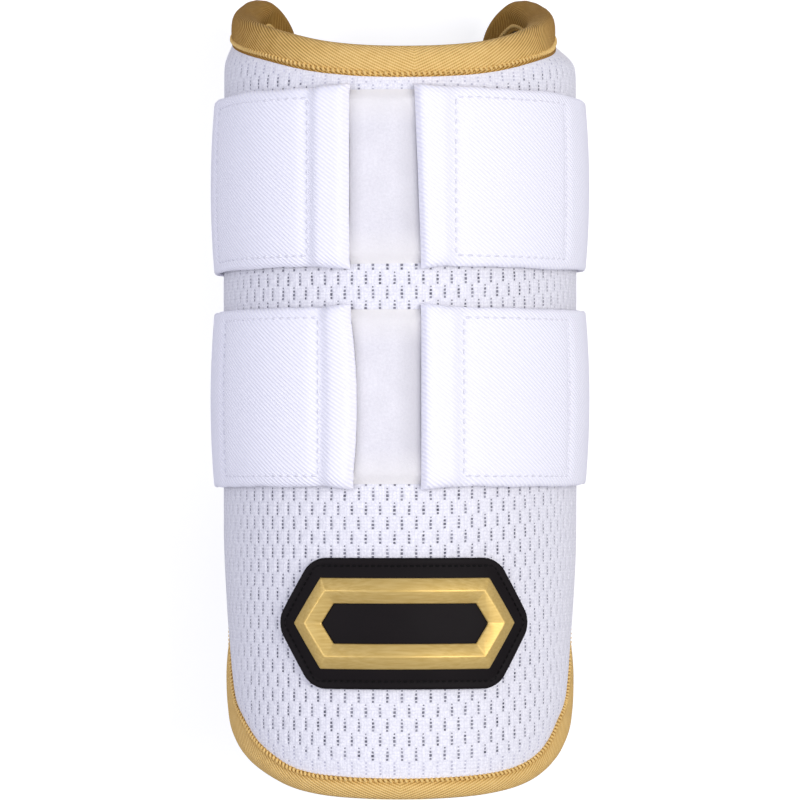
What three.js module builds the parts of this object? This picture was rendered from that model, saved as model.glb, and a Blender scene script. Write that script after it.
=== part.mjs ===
// A batter's elbow guard: a mesh-covered foam panel rolled round the arm, bound with tape and
// closed by two elastic straps, whose hook ends press onto loop patches on its front.
//
// Millimetres and degrees. The guard lies on its back: +Z is up and is its front, +Y runs up the
// arm, and the flat backs of the straps rest on z = 0. Around the arm, angle 0 is the front line
// and positive angles go to +X. The panel is drawn flat, as (wrap, height): wrap is the length
// along its outer face from the front line, and height is y.
import * as THREE from "three";

// Driving dimensions
const GAP = 0.3; // between pieces
const SEWN_GAP = 0.45; // under what is sewn onto the panel's curved face

const PANEL = {
  radius: 50.3, // outer face, from the arm's axis
  thickness: 7,
  edgeDrop: 2.05, // the outer face falls by this towards the edge
  edgeRise: 1.45, // the inner face comes out by this towards the edge
  shoulder: 12, // width of the slope beside the tape
  rim: 1, // bevel on the raw edge under the tape
};
const EAR_LEAN = { left: 1.6, right: 5.4, from: 88, to: 100, sideAngle: 30, fullAngle: 80 };

const TAPE = {
  wall: 1,
  legTop: 9,
  legElsewhere: 6,
  widensFrom: 55,
  widensTo: 90,
  bendInset: 0.35, // the rounded fold: how far in from its edge, and how far out of its middle
  bendShare: 0.6,
};

const STRAP = {
  width: 49.4,
  thickness: 1.6,
  hemThickness: 2.5, // the folded pull tab
  tabLift: 0.7,
  radius: 53.15, // inner face over the hook patches
  backRadius: 50.9, // inner face where it lies on the panel
  leavesHook: 71,
  meetsPanel: 110,
  backDepth: 42.2, // inner face of the flat stretch behind the arm
  cornerRadius: 15,
};
const STRAPS = [
  { name: "upper", height: 57.5 },
  { name: "lower", height: -3 },
];
// Each strap end: its tip, the seam behind the pull tab and the hook patch's far seam, in degrees
// from the front line; slant and bow move the tip's edge, in millimetres.
const STRAP_ENDS = [
  { strap: "upper", side: "left", tip: 15.5, tabSeam: 28, farSeam: 76.7, slant: 0, bow: 0 },
  { strap: "upper", side: "right", tip: 5.4, tabSeam: 16.5, farSeam: 62.6, slant: -1, bow: 0 },
  { strap: "lower", side: "left", tip: 15, tabSeam: 24.4, farSeam: 72, slant: 0.4, bow: 1.8 },
  { strap: "lower", side: "right", tip: 6.4, tabSeam: 18.9, farSeam: 66.6, slant: 0, bow: 0 },
];
const HOOK = { thickness: 0.65, width: 45, radius: 52.15 };
const LOOP = { thickness: 1.1, width: 48, leftEnd: -80, rightEnd: 70 };

const BADGE = { wrap: 1.4, height: -65.2 };
const BACKING = { halfLength: 37.5, halfHeight: 18, run: 11.5, thickness: 1.5, bevel: 0.5 };
const PLATE = { halfLength: 31, halfHeight: 12.5, run: 8, wall: 0.6, ridge: 2.1, width: 7 };

// The panel's finished edge, from the bottom of the front up both sides to its top: how far round
// the arm it reaches on the left and on the right at each height.
const EDGE = [
  { left: 0, right: 0, height: -113.6 },
  { left: 27.5, right: 29, height: -112.7 },
  { left: 38.5, right: 42, height: -111.1 },
  { left: 48.5, right: 53.5, height: -108.4 },
  { left: 59.5, right: 63, height: -104.9 },
  { left: 69.5, right: 71.7, height: -100.4 },
  { left: 79, right: 81, height: -95 },
  { left: 88, right: 89.5, height: -86 },
  { left: 96, right: 96.5, height: -74 },
  { left: 112, right: 112.5, height: -45 },
  { left: 126, right: 126.5, height: -14 },
  { left: 135.5, right: 137.5, height: 24 },
  { left: 139.5, right: 144.5, height: 60 },
  { left: 140.5, right: 147, height: 86 },
  { left: 133, right: 140, height: 105 },
  { left: 116, right: 122.5, height: 113.3 },
  { left: 100, right: 103, height: 110.6 },
  { left: 84, right: 86, height: 107 },
  { left: 51, right: 53, height: 100.6 },
  { left: 24, right: 26.5, height: 95.3 },
  { left: 0, right: 0, height: 93.8 },
];

// Colours and finishes
const FINISHES = {
  mesh: { color: 0xeeedf6, roughness: 0.85, metalness: 0 },
  tape: { color: 0xc79f52, roughness: 0.6, metalness: 0 },
  elastic: { color: 0xf4f3fb, roughness: 0.8, metalness: 0 },
  fleece: { color: 0xe9e7ee, roughness: 0.95, metalness: 0 },
  hook: { color: 0xe4e3ea, roughness: 0.7, metalness: 0 },
  rubber: { color: 0x201d1f, roughness: 0.55, metalness: 0 },
  gilt: { color: 0xc9a650, roughness: 0.35, metalness: 0.8 },
};

// Fineness of the facets
const EDGE_POINTS = 88;
const OUTER_RINGS = 9;
const INNER_RINGS = 7;
const STEP_ANGLE = 7.5;
const CORNER_STEPS = 5;
const STRAP_COLUMNS = 4;
const PATCH_COLUMNS = 8;
const SIDE_POINTS = 6;

const radians = THREE.MathUtils.degToRad;
const degrees = THREE.MathUtils.radToDeg;
const { clamp, lerp, smoothstep } = THREE.MathUtils;

const AXIS_HEIGHT = STRAP.backDepth + STRAP.thickness;
const EDGE_OUTER = PANEL.radius - PANEL.edgeDrop;
const EDGE_INNER = PANEL.radius - PANEL.thickness + PANEL.edgeRise;
const EDGE_MIDDLE = (EDGE_OUTER + EDGE_INNER) / 2;

// A point at an angle round the arm.
function around(angle, height, radius) {
  const turn = radians(angle);
  return new THREE.Vector3(
    radius * Math.sin(turn),
    height,
    AXIS_HEIGHT + radius * Math.cos(turn),
  );
}

// A point of the flat pattern, rolled up. The ears lean in towards the arm.
function rolled(flat, radius) {
  const angle = degrees(flat.x / PANEL.radius);
  const side = smoothstep(Math.abs(angle), EAR_LEAN.sideAngle, EAR_LEAN.fullAngle);
  const most = angle < 0 ? EAR_LEAN.left : EAR_LEAN.right;
  const lean = most * side * smoothstep(flat.y, EAR_LEAN.from, EAR_LEAN.to);
  return around(angle, flat.y, radius - lean);
}

// The closed surface through a row of loops with equal numbers of points. Fans to the two tips
// close its ends; with no tips the last loop joins the first.
function skin(loops, tips) {
  const count = loops[0].length;
  const points = loops.flat();
  const faces = [];
  const bands = tips ? loops.length - 1 : loops.length;
  for (let band = 0; band < bands; band++) {
    const here = band * count;
    const next = ((band + 1) % loops.length) * count;
    for (let i = 0; i < count; i++) {
      const j = (i + 1) % count;
      faces.push(here + i, here + j, next + j);
      faces.push(here + i, next + j, next + i);
    }
  }
  if (tips) {
    const last = (loops.length - 1) * count;
    const [first, end] = [points.length, points.length + 1];
    points.push(...tips);
    for (let i = 0; i < count; i++) {
      const j = (i + 1) % count;
      faces.push(first, j, i);
      faces.push(end, last + i, last + j);
    }
  }
  if (signedVolume(points, faces) < 0) faces.reverse();
  const geometry = new THREE.BufferGeometry().setFromPoints(points).setIndex(faces);
  geometry.computeVertexNormals();
  return geometry;
}

function signedVolume(points, faces) {
  let total = 0;
  const normal = new THREE.Vector3();
  for (let i = 0; i < faces.length; i += 3) {
    normal.crossVectors(points[faces[i + 1]], points[faces[i + 2]]);
    total += points[faces[i]].dot(normal) / 6;
  }
  return total;
}

function middle(points) {
  const sum = points.reduce((total, point) => total.add(point), new THREE.Vector3());
  return sum.divideScalar(points.length);
}

// The finished edge as evenly spread flat points, with the direction into the panel at each.
function edgePoints() {
  const flatPoint = (angle, height) => new THREE.Vector3(PANEL.radius * radians(angle), height, 0);
  const leftSide = EDGE.slice(1, -1).reverse();
  const corners = [
    ...EDGE.map(({ right, height }) => flatPoint(right, height)),
    ...leftSide.map(({ left, height }) => flatPoint(-left, height)),
  ];
  const curve = new THREE.CatmullRomCurve3(corners, true, "centripetal");
  const places = curve.getSpacedPoints(EDGE_POINTS).slice(0, EDGE_POINTS);
  return places.map((place, i) => {
    const before = places[(i + EDGE_POINTS - 1) % EDGE_POINTS];
    const after = places[(i + 1) % EDGE_POINTS];
    const along = new THREE.Vector2(after.x - before.x, after.y - before.y).normalize();
    return {
      place: new THREE.Vector2(place.x, place.y),
      inward: new THREE.Vector2(-along.y, along.x),
      leg: tapeLeg(place.y),
    };
  });
}

function tapeLeg(height) {
  return lerp(
    TAPE.legElsewhere,
    TAPE.legTop,
    smoothstep(height, TAPE.widensFrom, TAPE.widensTo),
  );
}

const edge = edgePoints();

// The flat loop that lies inside the finished edge; inset(leg) gives how far, for each point.
function insetLoop(inset) {
  return edge.map(({ place, inward, leg }) => place.clone().addScaledVector(inward, inset(leg)));
}

// How far the panel has risen from its thin edge to its full thickness: 0 to 1.
function shoulderRise(fromTape) {
  const left = 1 - clamp(fromTape / PANEL.shoulder, 0, 1);
  return 1 - left * left;
}

// The panel's outer radius at a place of the flat pattern.
function panelRadius(flat) {
  const distances = edge.map(({ place }) => place.distanceTo(flat));
  const nearest = distances.indexOf(Math.min(...distances));
  const { place, inward, leg } = edge[nearest];
  const inset = flat.clone().sub(place).dot(inward);
  return PANEL.radius - PANEL.edgeDrop * (1 - shoulderRise(inset - leg));
}

function makePanel() {
  const raw = TAPE.wall + GAP;
  const shoulderSteps = [1, 0.66, 0.33, 0];
  const inner = PANEL.radius - PANEL.thickness;
  const full = insetLoop((leg) => leg + PANEL.shoulder);
  const centre = new THREE.Vector2(0, middle(full.map(({ x, y }) => new THREE.Vector3(x, y, 0))).y);
  const rings = (count, radius) => {
    const loops = [];
    for (let ring = 1; ring < count; ring++) {
      loops.push(full.map((flat) => rolled(centre.clone().lerp(flat, ring / count), radius)));
    }
    return loops;
  };
  const slope = (share, radius, fall) => {
    const loop = insetLoop((leg) => leg + share * PANEL.shoulder);
    return loop.map((flat) => rolled(flat, radius - fall * (1 - shoulderRise(share * PANEL.shoulder))));
  };
  const rim = (inset, radius) => insetLoop(() => inset).map((flat) => rolled(flat, radius));
  const loops = [
    ...rings(OUTER_RINGS, PANEL.radius),
    ...shoulderSteps.map((share) => slope(share, PANEL.radius, PANEL.edgeDrop)),
    rim(raw + PANEL.rim, EDGE_OUTER),
    rim(raw, EDGE_OUTER - PANEL.rim),
    rim(raw, EDGE_INNER + PANEL.rim),
    rim(raw + PANEL.rim, EDGE_INNER),
    ...shoulderSteps.toReversed().map((share) => slope(share, inner, -PANEL.edgeRise)),
    ...rings(INNER_RINGS, inner).reverse(),
  ];
  return skin(loops, [rolled(centre, PANEL.radius), rolled(centre, inner)]);
}

// The tape's section, through the channel that holds the panel's edge to the end of its inner leg
// and back over the fold to the end of its outer leg.
function makeTape() {
  const fold = TAPE.wall + GAP + PANEL.rim;
  const outside = EDGE_OUTER + GAP + TAPE.wall;
  const inside = EDGE_INNER - GAP - TAPE.wall;
  const loop = (inset, radius) => insetLoop(inset).map((flat) => rolled(flat, radius));
  const legEnd = (leg) => leg;
  return skin([
    loop(() => fold, EDGE_OUTER + GAP),
    loop(() => TAPE.wall, EDGE_OUTER - PANEL.rim + GAP),
    loop(() => TAPE.wall, EDGE_INNER + PANEL.rim - GAP),
    loop(() => fold, EDGE_INNER - GAP),
    loop(legEnd, EDGE_INNER - GAP),
    loop(legEnd, inside),
    loop(() => fold, inside),
    loop(() => TAPE.bendInset, lerp(EDGE_MIDDLE, inside, TAPE.bendShare)),
    loop(() => 0, EDGE_MIDDLE),
    loop(() => TAPE.bendInset, lerp(EDGE_MIDDLE, outside, TAPE.bendShare)),
    loop(() => fold, outside),
    loop(legEnd, outside),
    loop(legEnd, EDGE_OUTER + GAP),
  ]);
}

// Half of a strap, from the middle of its flat back to its tip on the right. Each station has its
// place round the arm, the direction it faces, its thickness and how much of the tip's shape it
// takes.
function strapStations({ tip, tabSeam }) {
  const { radius, backRadius, backDepth, cornerRadius, thickness } = STRAP;
  const fromAxis = backRadius - cornerRadius;
  const cornerSweep = degrees(Math.acos((backDepth - cornerRadius) / fromAxis));
  const corner = around(180 - cornerSweep, 0, fromAxis);
  const stations = [{ angle: 180, radius: backDepth, facing: 180, thickness, tipShare: 0 }];
  for (let step = 0; step <= CORNER_STEPS; step++) {
    const facing = 180 - (cornerSweep * step) / CORNER_STEPS;
    const x = corner.x + cornerRadius * Math.sin(radians(facing));
    const z = corner.z - AXIS_HEIGHT + cornerRadius * Math.cos(radians(facing));
    const angle = degrees(Math.atan2(x, z));
    stations.push({ angle, radius: Math.hypot(x, z), facing, thickness, tipShare: 0 });
  }
  const sideAngle = 180 - cornerSweep;
  const sideSteps = Math.ceil((sideAngle - tabSeam) / STEP_ANGLE);
  for (let step = 1; step <= sideSteps; step++) {
    const angle = lerp(sideAngle, tabSeam, step / sideSteps);
    const settled = smoothstep(angle, STRAP.leavesHook, STRAP.meetsPanel);
    const here = lerp(radius, backRadius, settled);
    stations.push({ angle, radius: here, facing: angle, thickness, tipShare: 0 });
  }
  const tab = [
    { share: 0.25, fullness: 0.9 },
    { share: 0.6, fullness: 1 },
    { share: 0.9, fullness: 0.85 },
    { share: 1, fullness: 0.3 },
  ];
  for (const { share, fullness } of tab) {
    const angle = lerp(tabSeam, tip, share);
    const hem = lerp(thickness, STRAP.hemThickness, fullness);
    const lift = STRAP.tabLift * share + (share === 1 ? (STRAP.hemThickness - hem) / 2 : 0);
    stations.push({ angle, radius: radius + lift, facing: angle, thickness: hem, tipShare: share });
  }
  return stations;
}

// One cross-section of a strap: up its inner face and down its outer face.
function strapSection(station, end, height) {
  const mirror = end.side === "left" ? -1 : 1;
  const faces = { inner: [], outer: [] };
  for (let column = 0; column <= STRAP_COLUMNS; column++) {
    const across = (2 * column) / STRAP_COLUMNS - 1;
    const y = height + (across * STRAP.width) / 2;
    const reach = end.slant * across - end.bow * (1 - across * across);
    const turn = degrees((reach * -station.tipShare) / STRAP.radius);
    const place = around(mirror * (station.angle - turn), y, station.radius);
    const facing = around(mirror * station.facing, 0, station.thickness);
    facing.z -= AXIS_HEIGHT;
    faces.inner.push(place);
    faces.outer.unshift(place.clone().add(facing));
  }
  return [...faces.inner, ...faces.outer];
}

function makeStrap({ name, height }) {
  const [left, right] = STRAP_ENDS.filter(({ strap }) => strap === name);
  const sections = [
    ...strapStations(left).slice(1).reverse().map((station) => strapSection(station, left, height)),
    ...strapStations(right).map((station) => strapSection(station, right, height)),
  ];
  return skin(sections, [middle(sections.at(0)), middle(sections.at(-1))]);
}

// A thin patch round the arm between two angles; its inner face lies at radiusAt(flat).
function makePatch({ from, to, height, width, thickness, columns, radiusAt }) {
  const steps = Math.ceil((to - from) / STEP_ANGLE);
  const sections = [];
  for (let step = 0; step <= steps; step++) {
    const angle = lerp(from, to, step / steps);
    const faces = { inner: [], outer: [] };
    for (let column = 0; column <= columns; column++) {
      const y = height + width * (column / columns - 0.5);
      const radius = radiusAt(new THREE.Vector2(PANEL.radius * radians(angle), y));
      faces.inner.push(around(angle, y, radius));
      faces.outer.unshift(around(angle, y, radius + thickness));
    }
    sections.push([...faces.inner, ...faces.outer]);
  }
  return skin(sections, [middle(sections.at(0)), middle(sections.at(-1))]);
}

function makeLoopPatch({ height }) {
  return makePatch({
    from: LOOP.leftEnd,
    to: LOOP.rightEnd,
    height,
    width: LOOP.width,
    thickness: LOOP.thickness,
    columns: PATCH_COLUMNS,
    radiusAt: (flat) => panelRadius(flat) + SEWN_GAP,
  });
}

function makeHookPatch({ strap, side, tabSeam, farSeam }) {
  const mirror = side === "left" ? -1 : 1;
  const [from, to] = [mirror * tabSeam, mirror * farSeam].sort((a, b) => a - b);
  return makePatch({
    from,
    to,
    height: STRAPS.find(({ name }) => name === strap).height,
    width: HOOK.width,
    thickness: HOOK.thickness,
    columns: 1,
    radiusAt: () => HOOK.radius,
  });
}

// A long hexagon with points at its two ends, inset and scaled, as flat points round the badge's
// place. run is the length of each sloping end.
function hexagon({ halfLength, halfHeight, run }, inset, scale = 1) {
  const slope = Math.hypot(run, halfHeight) / halfHeight;
  const length = halfLength - inset * slope;
  const tall = halfHeight - inset;
  const flatHalf = length - (run * tall) / halfHeight;
  const corners = [
    [length, 0],
    [flatHalf, tall],
    [-flatHalf, tall],
    [-length, 0],
    [-flatHalf, -tall],
    [flatHalf, -tall],
  ].map(([x, y]) => new THREE.Vector2(x, y));
  const points = [];
  corners.forEach((corner, i) => {
    const next = corners[(i + 1) % corners.length];
    for (let k = 0; k < SIDE_POINTS; k++) {
      const place = corner.clone().lerp(next, k / SIDE_POINTS).multiplyScalar(scale);
      points.push(place.add(new THREE.Vector2(BADGE.wrap, BADGE.height)));
    }
  });
  return points;
}

function makeBacking() {
  const under = PANEL.radius + SEWN_GAP;
  const top = under + BACKING.thickness;
  const scales = [0.2, 0.4, 0.6, 0.8];
  const layer = (inset, scale, radius) =>
    hexagon(BACKING, inset, scale).map((flat) => rolled(flat, radius));
  const loops = [
    ...scales.map((scale) => layer(0, scale, under)),
    layer(0, 1, under),
    layer(0, 1, top - BACKING.bevel),
    layer(BACKING.bevel, 1, top),
    ...scales.toReversed().map((scale) => layer(BACKING.bevel, scale, top)),
  ];
  const centre = new THREE.Vector2(BADGE.wrap, BADGE.height);
  return skin(loops, [rolled(centre, under), rolled(centre, top)]);
}

// The relief on the badge: a frame with a sloping outer and inner face.
function makePlate() {
  const under = PANEL.radius + SEWN_GAP + BACKING.thickness + GAP;
  const loop = (inset, radius) => hexagon(PLATE, inset).map((flat) => rolled(flat, radius));
  return skin([
    loop(0, under),
    loop(0, under + PLATE.wall),
    loop(PLATE.width / 2, under + PLATE.ridge),
    loop(PLATE.width, under + PLATE.wall),
    loop(PLATE.width, under),
  ]);
}

const guard = new THREE.Group();

function add(name, geometry, finish) {
  const mesh = new THREE.Mesh(geometry, new THREE.MeshStandardMaterial(finish));
  mesh.name = name;
  guard.add(mesh);
}

add("shell_panel", makePanel(), FINISHES.mesh);
add("edge_binding", makeTape(), FINISHES.tape);
for (const strap of STRAPS) {
  add(`loop_patch_${strap.name}`, makeLoopPatch(strap), FINISHES.fleece);
  add(`strap_${strap.name}`, makeStrap(strap), FINISHES.elastic);
}
for (const end of STRAP_ENDS) {
  add(`hook_patch_${end.strap}_${end.side}`, makeHookPatch(end), FINISHES.hook);
}
add("badge_backing", makeBacking(), FINISHES.rubber);
add("badge_plate", makePlate(), FINISHES.gilt);

export default guard;
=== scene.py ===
import math

import bpy
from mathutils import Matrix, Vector, kdtree, noise


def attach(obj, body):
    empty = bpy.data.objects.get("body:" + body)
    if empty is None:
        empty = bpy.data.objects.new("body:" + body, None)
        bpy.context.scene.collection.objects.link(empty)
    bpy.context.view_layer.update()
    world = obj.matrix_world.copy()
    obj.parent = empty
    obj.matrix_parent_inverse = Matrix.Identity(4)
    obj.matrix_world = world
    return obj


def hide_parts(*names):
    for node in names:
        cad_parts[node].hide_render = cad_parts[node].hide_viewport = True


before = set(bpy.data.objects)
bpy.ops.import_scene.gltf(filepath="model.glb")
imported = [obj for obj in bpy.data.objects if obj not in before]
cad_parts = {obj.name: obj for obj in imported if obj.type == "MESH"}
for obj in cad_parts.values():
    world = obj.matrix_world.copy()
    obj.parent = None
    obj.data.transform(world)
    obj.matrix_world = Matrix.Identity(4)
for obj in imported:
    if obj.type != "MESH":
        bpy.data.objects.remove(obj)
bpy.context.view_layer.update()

MM = 0.001

# Measures that the solids have too
GAP = 0.3  # between pieces
PANEL_RADIUS = 50.3  # outer face, from the arm's axis
PANEL_THICKNESS = 7
EDGE_DROP = 2.05  # the outer face falls by this towards the edge
EDGE_RISE = 1.45  # the inner face comes out by this towards the edge
LEAN_LEFT = 1.6  # how far the ears lean in
LEAN_RIGHT = 5.4
LEAN_HEIGHTS = (88, 100)
LEAN_ANGLES = (30, 80)
TAPE_WALL = 1
TAPE_LEG = 6
TAPE_LEG_TOP = 9
TAPE_WIDENS = (55, 90)
STRAP_WIDTH = 49.4
STRAP_THICKNESS = 1.6
STRAP_RADIUS = 53.15  # inner face over the hook patches
STRAP_BACK_RADIUS = 50.9  # inner face where it lies on the panel
LEAVES_HOOK = 71
MEETS_PANEL = 110
BACK_DEPTH = 42.2  # inner face of the flat stretch behind the arm
CORNER_RADIUS = 15
LOOP_WIDTH = 48
LOOP_ENDS = (-80, 70)
BADGE_PLACE = (1.4, -65.2)
AXIS_HEIGHT = BACK_DEPTH + STRAP_THICKNESS
EDGE_OUTER = PANEL_RADIUS - EDGE_DROP
EDGE_INNER = PANEL_RADIUS - PANEL_THICKNESS + EDGE_RISE
EDGE_MIDDLE = (EDGE_OUTER + EDGE_INNER) / 2

# Soft forms, which only this scene has
SOFT_DROP = 0.9  # how far the soft panel sinks up to the tape
TUCKED = (0.2, 2)  # past the end of the tape's leg, where the rest of the drop is
SHOULDER = 8  # width of the slope beside the tape
RAW_EDGE = GAP + TAPE_WALL
TAPER = 1.3  # the panel's sides draw in towards the lower corners
TAPER_HEIGHTS = (-40, -74)
TAPER_ANGLES = (45, 90)
TAPE_CORNER = 3.6  # the tape's legs reach further round the lower corners
CORNER_STARTS = (-113, -100)
CORNER_ENDS = (-84, -64)
HEM_THICKNESS = 2.8  # the folded pull tab
HEM_RUN = 3.5  # from its seam to its full thickness
TAB_SINK = 1.2  # how far the tip of a pull tab sinks onto the pile
TIP_LEVEL = 0.04  # where the rounded tip ends, as a share of its thickness
TIP_RUN = 1.9  # how far back its rounding reaches
TIP_FULLNESS = 0.7  # the power of its curve: less is blunter
SEAM_INSET = 3
LOOP_THICKNESS = 1.55

# Straps: name, height
STRAPS = [
    ("upper", 57.5),
    ("lower", -3.0),
]

# Strap ends: strap, side, tip, seam behind the pull tab, far seam, slant and bow of the tip,
# how much each edge draws in and how far the band sinks at the arm's side
STRAP_ENDS = [
    ("upper", -1, 15.5, 28.0, 72.4, 0.0, 0.0, 0.15, 0.5),
    ("upper", 1, 5.4, 16.5, 59.0, -1.0, 0.0, 0.8, 0.0),
    ("lower", -1, 15.0, 24.4, 66.0, 0.4, 1.8, 0.1, 0.2),
    ("lower", 1, 6.4, 18.9, 60.8, 0.0, 0.0, 0.25, -0.6),
]

# The panel's finished edge from the bottom of the front to its top: left, right, height
EDGE = [
    (0, 0, -113.6),
    (27.5, 29, -112.7),
    (38.5, 42, -111.1),
    (48.5, 53.5, -108.4),
    (59.5, 63, -104.9),
    (69.5, 71.7, -100.4),
    (79, 81, -95),
    (88, 89.5, -86),
    (96, 96.5, -74),
    (112, 112.5, -45),
    (126, 126.5, -14),
    (135.5, 137.5, 24),
    (139.5, 144.5, 60),
    (140.5, 147, 86),
    (133, 140, 105),
    (116, 122.5, 113.3),
    (100, 103, 110.6),
    (84, 86, 107),
    (51, 53, 100.6),
    (24, 26.5, 95.3),
    (0, 0, 93.8),
]


# Shared geometry
def smoothstep(x, low, high):
    share = min(max((x - low) / (high - low), 0), 1)
    return share * share * (3 - 2 * share)


def lerp(start, end, share):
    return start + (end - start) * share


def around(angle, height, radius):
    turn = math.radians(angle)
    return Vector((radius * math.sin(turn), height, AXIS_HEIGHT + radius * math.cos(turn))) * MM


def rolled(flat, radius, slack=0):
    """A point of the flat pattern, rolled up; slack lets it stay out where the ears lean in."""
    angle = math.degrees(flat[0] / PANEL_RADIUS)
    most = LEAN_LEFT if angle < 0 else LEAN_RIGHT
    lean = most * smoothstep(abs(angle), *LEAN_ANGLES) * smoothstep(flat[1], *LEAN_HEIGHTS)
    taper = TAPER * smoothstep(abs(angle), *TAPER_ANGLES) * smoothstep(flat[1], *TAPER_HEIGHTS)
    return around(angle, flat[1], radius - lean * (1 - slack) - taper)


CURVE_STEPS = 24  # between two rows of the edge's table


def edge_curve():
    """The finished edge as a closed run of flat points: up the right side and down the left."""
    wrap = PANEL_RADIUS * math.radians(1)
    corners = [Vector((right * wrap, height)) for _, right, height in EDGE]
    corners += [Vector((-left * wrap, height)) for left, _, height in EDGE[-2:0:-1]]
    points = []
    count = len(corners)
    for i in range(count):
        before, start, end, after = (corners[(i + k) % count] for k in (-1, 0, 1, 2))
        gap_before = math.sqrt((start - before).length)
        gap = math.sqrt((end - start).length)
        gap_after = math.sqrt((after - end).length)
        leave = (start - before) / gap_before - (end - before) / (gap_before + gap) + (end - start) / gap
        arrive = (end - start) / gap - (after - start) / (gap + gap_after) + (after - end) / gap_after
        leave *= gap
        arrive *= gap
        square = 3 * (end - start) - 2 * leave - arrive
        cube = 2 * (start - end) + leave + arrive
        for step in range(CURVE_STEPS):
            t = step / CURVE_STEPS
            points.append(start + leave * t + square * t * t + cube * t * t * t)
    return points


def evenly(points, count):
    """count points spread evenly along a closed run, with the run's length."""
    ends = points[1:] + points[:1]
    lengths = [(b - a).length for a, b in zip(points, ends)]
    total = sum(lengths)
    spread = []
    i = 0
    passed = 0
    for k in range(count):
        want = total * k / count
        while passed + lengths[i] < want:
            passed += lengths[i]
            i += 1
        spread.append(points[i].lerp(ends[i], (want - passed) / lengths[i]))
    return spread, total


def inward_at(places):
    """The direction into the panel at each point of the edge."""
    count = len(places)
    inward = []
    for i in range(count):
        along = (places[(i + 1) % count] - places[i - 1]).normalized()
        inward.append(Vector((-along.y, along.x)))
    return inward


EDGE_POINTS = 560
curve = edge_curve()
edge_places, edge_length = evenly(curve, EDGE_POINTS)
edge_inward = inward_at(edge_places)
edge_tree = kdtree.KDTree(EDGE_POINTS)
for index, place in enumerate(edge_places):
    edge_tree.insert((place.x, place.y, 0), index)
edge_tree.balance()


def nearest_edge(flat):
    """How far a flat point lies inside the finished edge, and the nearest point of the edge."""
    _, nearest, _ = edge_tree.find((flat[0], flat[1], 0))
    inset = (Vector((flat[0], flat[1])) - edge_places[nearest]).dot(edge_inward[nearest])
    return inset, nearest


def in_corner(height):
    """1 at the lower corners, falling to 0 above and below them."""
    return smoothstep(height, *CORNER_STARTS) * (1 - smoothstep(height, *CORNER_ENDS))


def tape_leg(height):
    """How far the tape's legs reach in from the edge: further at the ears and the lower corners."""
    leg = lerp(TAPE_LEG, TAPE_LEG_TOP, smoothstep(height, *TAPE_WIDENS))
    return leg + TAPE_CORNER * in_corner(height)


def tape_distance(flat):
    """How far a flat point lies inside the end of the tape's leg."""
    inset, nearest = nearest_edge(flat)
    return inset - tape_leg(edge_places[nearest].y)


def panel_faces(flat):
    """The panel's outer and inner radius at a flat point, and its distance from the tape."""
    from_tape = tape_distance(flat)
    left = 1 - min(max(from_tape / SHOULDER, 0), 1)
    fall = left * left
    under_tape = smoothstep(-from_tape, *TUCKED)
    outer = PANEL_RADIUS - SOFT_DROP * fall - (EDGE_DROP - SOFT_DROP) * under_tape
    inner = PANEL_RADIUS - PANEL_THICKNESS + EDGE_RISE * fall
    return outer, inner, from_tape


def select_none():
    if bpy.context.object and bpy.context.object.mode != "OBJECT":
        bpy.ops.object.mode_set(mode="OBJECT")
    bpy.ops.object.select_all(action="DESELECT")


def select_only(piece):
    select_none()
    piece.select_set(True)
    bpy.context.view_layer.objects.active = piece


def select_borders():
    """Selects the open borders of the piece in edit mode."""
    bpy.ops.mesh.select_mode(type="EDGE")
    bpy.ops.mesh.select_all(action="SELECT")
    bpy.ops.mesh.region_to_loop()


def select_faces(piece, chosen):
    """Selects the chosen faces of the active piece and leaves it in edit mode."""
    bpy.ops.object.mode_set(mode="EDIT")
    bpy.ops.mesh.select_mode(type="FACE")
    bpy.ops.mesh.select_all(action="DESELECT")
    bpy.ops.object.mode_set(mode="OBJECT")
    for face in piece.data.polygons:
        face.select = chosen(face)
    bpy.ops.object.mode_set(mode="EDIT")


def new_piece(name, points, faces):
    mesh = bpy.data.meshes.new(name)
    mesh.from_pydata(points, [], faces)
    piece = bpy.data.objects.new(name, mesh)
    bpy.context.collection.objects.link(piece)
    return piece


def skin(name, rings, uv_at, closed=False):
    """The surface through rings of points, closed in a loop or by a point at each end.

    uv_at(ring, point) gives the flat place.
    """
    count = len(rings[0])
    points = [point for ring in rings for point in ring]
    faces = []
    places = []
    bands = len(rings) if closed else len(rings) - 1
    for band in range(bands):
        here = band * count
        after = (band + 1) % len(rings) * count
        for i in range(count):
            j = (i + 1) % count
            faces.append((here + i, here + j, after + j, after + i))
            places.append([uv_at(band, i), uv_at(band, j), uv_at(band + 1, j), uv_at(band + 1, i)])
    if not closed:
        last = (len(rings) - 1) * count
        points += [sum(ring, Vector()) / count for ring in (rings[0], rings[-1])]
        for i in range(count):
            j = (i + 1) % count
            faces.append((len(points) - 2, j, i))
            places.append([uv_at(0, i), uv_at(0, j), uv_at(0, i)])
            faces.append((len(points) - 1, last + i, last + j))
            places.append([uv_at(len(rings) - 1, k) for k in (i, i, j)])
    piece = new_piece(name, points, faces)
    layer = piece.data.uv_layers.new(name="flat")
    for face, corners in zip(piece.data.polygons, places):
        for loop, place in zip(face.loop_indices, corners):
            layer.data[loop].uv = place
    face_outwards(piece)
    return piece


def face_outwards(piece):
    select_only(piece)
    bpy.ops.object.mode_set(mode="EDIT")
    bpy.ops.mesh.select_all(action="SELECT")
    bpy.ops.mesh.normals_make_consistent(inside=False)
    bpy.ops.object.mode_set(mode="OBJECT")
    bpy.ops.object.shade_smooth()


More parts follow.
